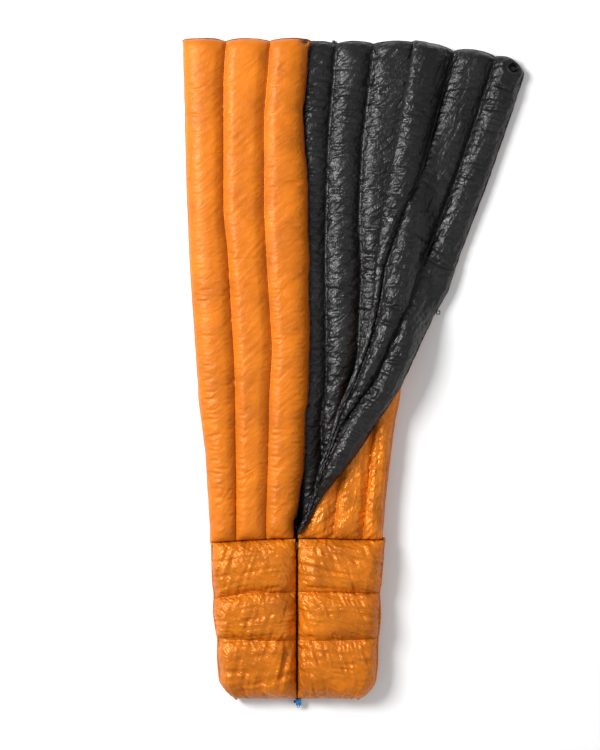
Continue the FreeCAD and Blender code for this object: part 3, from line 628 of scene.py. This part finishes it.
WEBBING = woven("black webbing", (0.02, 0.02, 0.021), 0.0013, depth=0.0003)
BRAID = woven("black braid", (0.018, 0.018, 0.02), 0.0008, rough=0.7)


# ---- camera, light and floor --------------------------------------------------------------------------
def link(data, name, location):
    thing = bpy.data.objects.new(name, data)
    thing.location = location
    bpy.context.scene.collection.objects.link(thing)
    return thing


VIEW_HEIGHT = 5.0                  # camera above the floor
FRAME_HEIGHT = 2.245               # what the picture's height shows, at SCALE_HEIGHT
SCALE_HEIGHT = 0.07                # above the floor, about the middle of the quilt's upper layers
SENSOR = 36.0                      # width of the camera's sensor in millimetres


def camera():
    data = bpy.data.cameras.new("camera")
    data.sensor_width, data.clip_end = SENSOR, 100
    data.lens = SENSOR * (VIEW_HEIGHT - SCALE_HEIGHT) / FRAME_HEIGHT
    over = Vector(place((9.0, 975.0, 0))) + Vector((0, 0, VIEW_HEIGHT))
    bpy.context.scene.camera = link(data, "camera", over)


def lamp(name, location, target, size, power):
    data = bpy.data.lights.new(name, "AREA")
    data.energy, data.size = power, size
    light = link(data, name, Vector(location))
    light.rotation_euler = (Vector(target) - light.location).to_track_quat("-Z", "Y").to_euler()


def studio():
    world = bpy.data.worlds.new("studio")
    world.use_nodes = True
    world.node_tree.nodes["Background"].inputs["Color"].default_value = (1, 1, 1, 1)
    world.node_tree.nodes["Background"].inputs["Strength"].default_value = 0.42
    bpy.context.scene.world = world
    bpy.context.scene.view_settings.view_transform = "Standard"


def floor():
    mesh = bpy.data.meshes.new("floor")
    mesh.from_pydata([(x, y, -0.0002) for x, y in ((-30, -30), (30, -30), (30, 30), (-30, 30))], [],
                     [(0, 1, 2, 3)])
    add("floor", mesh, new_material("floor paper", (0.93, 0.93, 0.93), 0.9))


camera()
lamp("key", (-3.3, 1.5, 3.5), (0, -0.1, 0), 1.9, 335)
lamp("fill", (2.6, -1.2, 3.6), (0, 0, 0), 3.0, 24)
studio()
floor()


# ---- the layers ---------------------------------------------------------------------------------------
def even(value):
    return lambda *where: np.full(np.broadcast(*where).shape, float(value))


def ramp_at(*points):
    """A value that changes with y only, through (y, value) points."""
    ys, values = zip(*points)
    return lambda y: np.interp(y, ys, values)


LEG_TOP = ramp_at((470, 84), (ROLL_TOP, 76), (1714, 56), (1981, 50))
AXIS_Z = ramp_at((470, 66), (ROLL_TOP, 92), (1975, 54))


def leg_top(x, y):
    """Height of the right flap's folded-back leg, falling to the floor past the side."""
    past = np.clip((x - RIGHT_SIDE(y) - 2.0) / 92.0, 0, 1)
    return LEG_TOP(y) * (1 - past * past * (3 - 2 * past))


def flap_low(x, y):
    return leg_top(x, y) + np.where(x < RIGHT_SIDE(y) + 14, 4.5, 0.6)


def flap_high(x, y):
    return flap_low(x, y) + LOFT


def seam_growth(free, per, middle_share, seam_share):
    """Spare length that is larger beside the seams, where the stitches gather the fabric."""
    columns = np.arange(free.shape[1]) % per
    near = np.abs(2 * columns / per - 1) ** 3
    return np.broadcast_to(middle_share + (seam_share - middle_share) * near, free.shape)


def press(made, x, y, level, reach=12.5):
    """Flattens a layer to a level where a snap holds it."""
    grid, free = made
    near = np.exp(-(((grid[..., 0] - x) ** 2 + (grid[..., 1] - y) ** 2) / reach ** 2) ** 1.5)
    held = np.clip(1.6 * near, 0, 1)
    grid[..., 2] += (level - grid[..., 2]) * held
    free *= 1 - held


LEFT_SNAP_LEVELS = 65.0, 59.0      # of the left flap's shell and lining at its snap
RIGHT_SNAP_LEVELS = 15.4, 8.6      # of the right flap's lining and shell at its snap


def in_quilt(node):
    """The middle of a CAD node in quilt millimetres."""
    return (middle(node) - FOOT) * 1000


def back():
    lines = [LEFT_SIDE, *BACK_SEAMS, RIGHT_SIDE]

    def fold(y):
        return 48.0 - 27.0 * np.clip((y - 1900) / 70, 0, 1) ** 2 - 24 * np.clip((540 - y) / 60, 0, 1)

    made = layer(lines, steps(FIRST_ROW, LAST_ROW, 4.4), 22, even(0), even(LOFT), True, seam=0.22,
                 ends=(0.5, 0.26), end_z=(None, 19), edge_z=(fold, fold), tuck=(0.01, 0.01), full=2.2)
    fit_knee(made)
    bow_head(made, 22, 9.0)
    patchy = np.maximum(0.032 + 0.024 * lumps(made[1].shape, 12, 3), 0.006)
    sheet("back_lining", made, True, CHARCOAL, "lining_charcoal",
          ["back_lining", "back_baffle_walls", *[f"back_down_{k + 1}" for k in range(6)]], "root",
          (0.03, patchy), rounds=170, cap=9, grain=(13.0, 1.5, 38.0), seed=31, bumps=2.6, crumple=1.8)
    made = layer(lines, steps(FIRST_ROW, LAST_ROW, 9.0), 12, even(0.5), even(LOFT), False, seam=0.5,
                 ends=(0.5, 0.26), end_z=(None, 19), edge_z=(fold, fold), runs=(44.0, 60.0))
    fit_knee(made)
    bow_head(made, 12, 9.0)
    sheet("back_shell", made, False, ORANGE, "shell_orange", ["back_shell"], "root",
          (0.0, seam_growth(made[1], 12, 0.015, 0.03)), rounds=80, floor=0.6)


def left_flap():
    lines = [LEFT_SIDE, LEFT_SEAM_32, LEFT_SEAM_21, lambda y: LEFT_EDGE(y) - 3.0]
    heights = even(FLAP_Z), even(FLAP_Z + LOFT)
    snap = in_quilt("left_neck_snap_socket")
    closed = dict(ends=(0.12, 0.2), end_z=(70, 62))
    made = layer(lines, steps(FIRST_ROW, LAST_ROW, 3.7), 30, *heights, True, seam=0.2,
                 edge_z=(even(52), even(65)), tuck=(24.0, 0.01), full=3.0, **closed)
    fit_knee(made)
    bow_head(made, 30, 8.0)
    press(made, snap.x, snap.y, LEFT_SNAP_LEVELS[0])
    patchy = 0.03 + 0.016 * lumps(made[1].shape, 14, 4) + seam_growth(made[1], 30, 0.0, 0.012)
    sheet("left_flap_shell", made, True, ORANGE, "shell_orange",
          ["left_flap_shell", "left_flap_baffle_walls", *[f"left_flap_down_{k}" for k in (1, 2, 3)]],
          "lift", (0.014, np.maximum(patchy, 0.004)), rounds=170, cap=6, grain=(11.0, 1.6, 35.0), seed=41,
          bumps=1.7, crumple=0.9)
    made = layer(lines, steps(FIRST_ROW, LAST_ROW, 7.0), 16, *heights, False, seam=0.45,
                 edge_z=(even(52), even(59)), tuck=(0.01, 0.01), **closed)
    fit_knee(made)
    bow_head(made, 16, 8.0)
    press(made, snap.x, snap.y, LEFT_SNAP_LEVELS[1])
    sheet("left_flap_lining", made, False, CHARCOAL, "lining_charcoal", ["left_flap_lining"], "lift",
          (0.01, seam_growth(made[1], 16, 0.02, 0.05)), rounds=100, cap=5)


def right_flap():
    lines = [ROLL_FOLD, lambda y: np.maximum(SEAM_11(y), ROLL_FOLD(y)),
             lambda y: np.maximum(SEAM_12(y), ROLL_FOLD(y)), lambda y: ROLL_EDGE(y) - 4.0]
    snap = in_quilt("right_neck_snap_stud")
    rim = ramp_at((470, 88), (ROLL_TOP, 92), (1180, 20), (1981, 17))
    made = layer(lines, steps(FLAP_ROW, LAST_ROW, 4.0), 26, flap_low, flap_high, True, seam=0.22,
                 ends=(0.5, 0.24), end_z=(None, 14), edge_z=(AXIS_Z, rim), tuck=(25.0, 0.01), full=2.2)
    bow_head(made, 26, 14.0)
    head_slant(made)
    press(made, snap.x, snap.y, RIGHT_SNAP_LEVELS[0])
    patchy = np.maximum(0.035 + 0.028 * lumps(made[1].shape, 12, 5), 0.008)
    sheet("right_flap_lining", made, True, FLAP_CHARCOAL, "lining_charcoal",
          ["right_flap_lining", "right_fold_lining", "right_flap_baffle_walls", "right_fold_down",
           *[f"right_flap_down_{k}" for k in (10, 11, 12)]], "roll", (0.035, patchy), rounds=170, cap=9,
          grain=(15.0, 1.5, 62.0), seed=51, bumps=2.4, crumple=1.7)
    low_rim = ramp_at((470, 84), (ROLL_TOP, 86), (1180, 8), (1981, 6))
    made = layer(lines, steps(FLAP_ROW, LAST_ROW, 8.5), 12, flap_low, flap_high, False, seam=0.5,
                 ends=(0.5, 0.24), end_z=(None, 10), edge_z=(AXIS_Z, low_rim), tuck=(0.01, 0.01),
                 runs=(44.0, 48.0))
    bow_head(made, 12, 14.0)
    head_slant(made)
    press(made, snap.x, snap.y, RIGHT_SNAP_LEVELS[1])
    sheet("right_flap_shell", made, False, ORANGE, "shell_orange", ["right_flap_shell", "right_fold_shell"],
          "roll", (0.0, seam_growth(made[1], 12, 0.01, 0.03)), rounds=80, floor=0.6, cap=4)


def leg():
    """The folded-back leg of the right flap, its shell up."""
    def start(y):
        return ROLL_FOLD(y) + 4

    inner, outer = line((470, 105), (934, 150)), line((470, 194), (934, 240))
    lines = [start, lambda y: np.maximum(inner(y), start(y)), lambda y: np.maximum(outer(y), start(y)),
             RIGHT_SIDE]
    near_fold = ramp_at((470, 58), (ROLL_TOP, 60), (1780, 52))

    def high(x, y):
        return LEG_TOP(y) + 0 * x

    closed = dict(ends=(0.12, 1.0), end_z=(70, None), edge_z=(near_fold, even(52)), least=0.04)
    made = layer(lines, steps(FIRST_ROW, LEG_END, 4.2), 24, even(47), high, True, seam=0.26,
                 tuck=(0.01, 24.0), **closed)
    fit_knee(made)
    patchy = np.maximum(0.03 + 0.015 * lumps(made[1].shape, 10, 6), 0.006)
    sheet("right_fold_shell", made, True, LEG_ORANGE, "shell_orange", ["right_fold_shell"], "root",
          (0.05, patchy), rounds=160, cap=8, grain=(18.0, 2.0, 84.0), seed=61, bumps=3.2, crumple=2.4)
    made = layer(lines, steps(FIRST_ROW, LEG_END, 10.0), 10, even(47.5), high, False, seam=0.5,
                 tuck=(0.01, 0.01), **closed)
    fit_knee(made)
    sheet("right_fold_lining", made, False, CHARCOAL, "lining_charcoal", ["right_fold_lining"], "root")


def head_slant(made):
    """The right flap's head edge runs back towards its free corner."""
    grid = made[0]
    x, y = grid[..., 0], grid[..., 1]
    back = np.interp(x[-1:], (358, 488, 599, 650, 690), (0, 22, 36, 55, 92))
    grid[..., 1] = y - back * np.clip((y - 1560.0) / 420.0, 0, 1)


def foot_rows(u, t, side, hem_y, under):
    """Three crosswise rows of down from hem to knee: each point's y, and the share of the loft along t."""
    sag = 0 if under else 1
    dip = sag * (20.0 if side < 0 else 3.0)
    seams = np.array([hem_y + 0 * u, FOOT_SEAMS[0] + sag * 6.0 * u ** 2,
                      FOOT_SEAMS[1] - dip * np.clip(u - 0.55, 0, 1) ** 1.2 / 0.38,
                      knee(u * 254.0 * (1 if under else side))]).T
    places, lobe = [], []
    for k in range(3):
        part = seams[:, k:k + 1] + (seams[:, k + 1:k + 2] - seams[:, k:k + 1]) * t
        shape = 0.3 + 0.7 * (1 - np.abs(2 * t - 1) ** 2.4) ** 0.55
        if k == 0:
            shape = np.where(t < 0.5, np.sqrt(np.clip(1 - (1 - 2 * t) ** 2.2, 0, 1)), shape)
        if k == 2:
            shape = np.where(t > 0.5, 0.12 + 0.88 * np.clip(1 - (2 * t - 1) ** 2.6, 0, 1) ** 0.55, shape)
        first = min(k, 1)
        places.append(part[:, first:])
        lobe.append(shape[first:])
    return np.concatenate(places, 1), np.concatenate(lobe)[None, :]


def foot_heights(u, y, hem_y, outside, under):
    """Middle height of a footbox layer at each point, and half its thickness between the seams."""
    low = 26 + 20 * np.clip(y / FOOT_SEAMS[0], 0, 1)
    bottom, top = (0.6 + 0 * low, low) if under else (low + 8, low + 8 + LOFT)
    side_share = np.sqrt(1 - (1 - np.clip((1 - np.abs(u)) * 240 / 44.0, 0, 1)) ** 2)
    share = 0.2 + 0.8 * side_share
    side_level = low + 4.0
    level = side_level + ((bottom + top) / 2 - side_level) * side_share
    if not under:
        zip_share = 1 - (1 - np.clip(u * 240 / 62.0, 0, 1)) ** 2.2
        share = share * (0.16 + 0.84 * zip_share)
        zip_level = 42.0 + 24.0 * (y - 16) / 458.0 + (6.4 if outside else 4.2)
        level = zip_level + (level - zip_level) * zip_share
        from_knee = np.sqrt(1 - (1 - np.clip((y[:, -1:] - y) / 46.0, 0, 1)) ** 2)
        level = 70 + (level - 70) * np.where(zip_share < 0.98, 1, from_knee)
    hem_level = 24.0 + (9.4 if outside else 5.0) * (-1 if under else 1)
    from_hem = np.sqrt(1 - (1 - np.clip((y - hem_y) / 50.0, 0, 1)) ** 2)
    return hem_level + (level - hem_level) * from_hem, (top - bottom) / 2 * share


def foot_grid(side, per, size, under, up):
    """One side of a footbox layer, from the zip line (or the other side) out to the side."""
    outside = up != under
    hem_y = -0.6 if outside else 12.0
    u = np.linspace(-1 if under else 0, 1, int(round((500 if under else 240) / size)) + 1)
    y, lobe = foot_rows(u, np.linspace(0, 1, per + 1), side, hem_y, under)
    u = u[:, None]
    if under:
        x = np.where(u < 0, u * FOOT_LEFT(y), u * FOOT_RIGHT(y))
    else:
        zip_x = 3.0 + 1.8 * np.clip((y - 440.0) / 14.0, 0, 1) if outside else 13.2
        outline = FOOT_LEFT if side < 0 else FOOT_RIGHT
        x = side * (zip_x + u * (outline(y) - zip_x))
    level, half = foot_heights(u, y, hem_y, outside, under)
    half = half * lobe
    grid = np.stack([x, y, level + (half if up else -half)], -1)
    free = np.ones(x.shape)
    free[:, ::per] = 0
    free[[0, -1]] = 0
    return grid, free


def footbox():
    for side, name in ((-1, "left"), (1, "right")):
        made = foot_grid(side, 46, 3.2, False, True)
        patchy = np.maximum(0.05 + 0.03 * lumps(made[1].shape, 9, 20 + side), 0.01)
        sheet(f"footbox_{name}_shell", made, True, FOOT_ORANGE, "shell_orange",
              [f"footbox_{name}_shell", f"footbox_{name}_down"], "root", (0.02, patchy), turned=side > 0,
              rounds=190, cap=9, grain=(15.0, 1.9, -34.0), seed=75 + side, bumps=3.6, crumple=3.0)
        sheet(f"footbox_{name}_lining", foot_grid(side, 14, 9.0, False, False), False, CHARCOAL,
              "lining_charcoal", [f"footbox_{name}_lining"], "root", turned=side > 0)
    sheet("footbox_under_shell", foot_grid(1, 16, 9.0, True, False), False, FOOT_ORANGE, "shell_orange",
          ["footbox_under_shell", "footbox_under_down", "footbox_baffle_walls"], "root", (0.0, 0.03),
          turned=True, rounds=80, floor=0.6, cap=4)
    sheet("footbox_under_lining", foot_grid(1, 14, 10.0, True, True), True, CHARCOAL, "lining_charcoal",
          ["footbox_under_lining"], "root", turned=True)


for shape in (back, left_flap, right_flap, leg, footbox):
    shape()
with ThreadPoolExecutor(4) as pool:
    grids = list(pool.map(settled, sheets))
for note, grid in zip(sheets, grids):
    dress(note, grid)
surface = {note["name"]: grid for note, grid in zip(sheets, grids)}


# ---- stitching and bindings ---------------------------------------------------------------------------
def seam_paths(name, per):
    """The lengthwise seams of a settled sheet, without its outer edges."""
    grid = surface[name]
    return [grid[:, k] for k in range(per, grid.shape[1] - 1, per)]


def binding(name, path, wide, high, material, body, nodes):
    """A rolled fabric edge, gathered a little by its thread."""
    path = np.asarray(path, float)
    gather = np.random.default_rng(1).normal(0, 1, (len(path), 3))
    gather = np.stack([np.convolve(gather[:, k], (0.25, 0.5, 0.25), "same") for k in range(3)], -1)
    path = path + gather * (0.5, 0.5, 0.3)
    band = tube(path, wide * (1 + 0.12 * gather[:, 0]), high * (1 + 0.10 * gather[:, 1]), sides=10)
    trim(name, band, material, body, nodes)


def flap_binding(name, sheet_name, drop, wide, high, material, body, nodes):
    """The binding of a flap's free edge and its head edge, a little below the sheet's own edge."""
    grid = surface[sheet_name] - (0, 0, drop)
    binding(name, np.concatenate([grid[::2, -1], grid[-1, -1::-2]]), wide, high, material, body, nodes)


def edges():
    flap_binding("left_flap_binding", "left_flap_shell", 3.0, 3.4, 4.4, BINDING, "lift", ["left_flap_hem"])
    flap_binding("right_flap_binding", "right_flap_lining", 4.5, 3.2, 6.0, DARK_BINDING, "roll",
                 ["right_flap_hem", "right_fold_hem"])
    head = surface["back_lining"][-1, ::2] - (0, 0, 4.0)
    binding("back_head_binding", head, 3.2, 5.0, DARK_BINDING, "root", ["back_head_hem"])


def gusset(name, upper, lower, material):
    """The strip of shell that goes round a side fold, between the edges of the layers that it joins."""
    upper, lower = upper[np.argsort(upper[:, 1])], lower[np.argsort(lower[:, 1])]
    y = np.clip(lower[:, 1], upper[0, 1], upper[-1, 1])
    above = np.stack([np.interp(y, upper[:, 1], upper[:, axis]) for axis in range(3)], -1)
    path = (above + lower) / 2
    path[:, 1] = lower[:, 1]
    high = np.abs(above[:, 2] - lower[:, 2]) / 2 + 2.0
    trim(name, tube(path, 2.6 + 0.3 * high, high, sides=12), material, "root")


def side_folds():
    under, foot_under = surface["back_shell"], surface["footbox_under_shell"]
    folded = surface["right_fold_shell"][:, -1]
    gusset("left_side_fold", surface["left_flap_shell"][:, 0], under[:, 0], ORANGE)
    gusset("right_side_fold", folded, under[under[:, -1, 1] < folded[-1, 1], -1], LEG_ORANGE)
    gusset("footbox_left_side_fold", surface["footbox_left_shell"][-1], foot_under[0], FOOT_ORANGE)
    gusset("footbox_right_side_fold", surface["footbox_right_shell"][-1], foot_under[-1], FOOT_ORANGE)


def foot_channel():
    """The drawcord's channel round the foot vent, open above where the cord comes out."""
    reach, rise = 186.0, 6.0
    angles = np.linspace(0, math.pi, 9)
    right = [(reach + rise * math.sin(a), 24 + rise * math.cos(a)) for a in angles]
    left = [(-reach - rise * math.sin(a), 24 - rise * math.cos(a)) for a in angles]
    top, under = np.linspace(15, reach, 60), np.linspace(reach, -reach, 120)
    plan = [(x, 30.0) for x in top] + right + [(x, 18.0) for x in under] + left
    plan += [(x, 30.0) for x in np.linspace(-reach, -8, 60)]
    path = np.array([(x, 5.8, z) for x, z in plan])
    gather = lumps((len(path), 4), 1, 8)[:, 0]
    band = tube(path, 1.9 + 0.25 * gather, 5.4 + 0.4 * gather, sides=12, across=(0, 1, 0))
    trim("foot_channel", band, FOOT_ORANGE, "root", ["foot_hem"])


def threads():
    for name, per, body in (("left_flap_shell", 30, "lift"), ("right_fold_shell", 24, "root")):
        # the thread on the orange seams is dark brown, partly painted shade of the seam valleys
        trim(f"{name}_stitching", stitches(seam_paths(name, per), 0.5), SEAM_SHADE_THREAD, body)
    for name in ("footbox_left", "footbox_right"):
        paths = seam_paths(f"{name}_shell", 46) + [surface[f"{name}_shell"][:, -1]]
        trim(f"{name}_stitching", stitches(paths, 0.6), SEAM_SHADE_THREAD, "root")
    for name, per, body in (("back_lining", 22, "root"), ("right_flap_lining", 26, "roll")):
        trim(f"{name}_stitching", stitches(seam_paths(name, per), 0.5), BLACK_THREAD, body)


# ---- zip, locks, snaps and cords ----------------------------------------------------------------------
def zip_coil(side):
    """One coil of the zip, wound along its CAD strip."""
    node = f"zipper_teeth_{side}"
    low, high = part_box(node)
    low, high = (low - FOOT) * 1000, (high - FOOT) * 1000
    turns = int((high.y - low.y) / 2.2)
    angle = np.linspace(0, 2 * math.pi * turns, turns * 9 + 1)
    share = np.linspace(0, 1, len(angle))
    path = np.stack([(low.x + high.x) / 2 + 0.75 * np.cos(angle), low.y + 1 + (high.y - low.y - 2) * share,
                     low.z + 1.0 + (high.z - low.z - 2.0) * share + 0.7 * np.sin(angle)], -1)
    trim(f"zip_coil_{side}", tube(path, 0.3, 0.3, sides=5), COIL, "root", [node])


def paint(material, *nodes):
    """A better material for CAD nodes that stay."""
    for node in nodes:
        for slot in bpy.data.objects[node].material_slots:
            slot.material = material


# a cord's loop as (way out of the hem, offset to one side): straight through the lock, round and back
LOOP = ((0, 1.1), (30.8, 1.1), (33.6, 3.9), (36.83, 3.9), (39.12, 1.62), (39.12, -1.62), (36.83, -3.9),
        (33.6, -3.9), (30.8, -1.1), (0, -1.1))


def loop_route(first, start, out, aside, last):
    """Points of a cord from first to last, by way of a loop that leaves start in the direction out.

    They are rounded to a hundredth of a millimetre."""
    start, out, aside = np.array(start), np.array(out), np.array(aside)
    loop = [tuple(np.round(start + far * out + offset * aside, 2)) for far, offset in LOOP]
    return [first, *loop, last]


def cord(end, route):
    """The free loop of drawcord at one end of the quilt: out of its hem, through its lock and back."""
    curve = bpy.data.curves.new(f"{end}_loop", "CURVE")
    curve.dimensions = "3D"
    curve.bevel_depth, curve.bevel_resolution = 0.0008, 3
    spline = curve.splines.new("NURBS")
    spline.points.add(len(route) - 1)
    for point, spot in zip(spline.points, place(route)):
        point.co = (*spot, 1)
    spline.order_u = 3
    spline.use_endpoint_u = True
    spline.resolution_u = 12
    piece = add(f"{end}_loop", curve, BRAID)
    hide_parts(f"{end}_loop_cord")
    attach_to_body(piece, "root")
    tuple(place(route[0]))


def hardware():
    for side in ("left", "right"):
        zip_coil(side)
        paint(TAPE, f"zipper_tape_{side}")
    paint(BRASS, "zipper_slider", "zipper_pull")
    paint(BLUE, "foot_cord_lock_barrel")
    paint(DARK_BLUE, "foot_cord_lock_button")
    paint(STEEL, "foot_cord_lock_spring", "neck_cord_lock_spring")
    paint(SNAP, "left_neck_snap_socket", "right_neck_snap_stud")
    paint(SNAP, "neck_cord_lock_barrel", "neck_cord_lock_button")
    paint(WEBBING, "left_pad_loop", "right_pad_loop")
    paint(BRAID, "foot_drawcord", "neck_drawcord")
    slope = math.radians(20)       # the foot loop hangs down from the channel by this much
    foot_route = loop_route((15.0, 5.8, 30.0), (3.5, 5.8, 30.0), (0, -math.cos(slope), -math.sin(slope)),
                            (1, 0, 0), (-8.0, 5.8, 30.0))
    cord("foot", foot_route)
    neck_route = loop_route((92.0, 1974.9, 15.6), (92.0, 1976.0, 5.5), (1, 0, 0), (0, -1, 0),
                            (92.0, 1977.1, 15.6))
    cord("neck", neck_route)


edges()
side_folds()
foot_channel()
threads()
hardware()
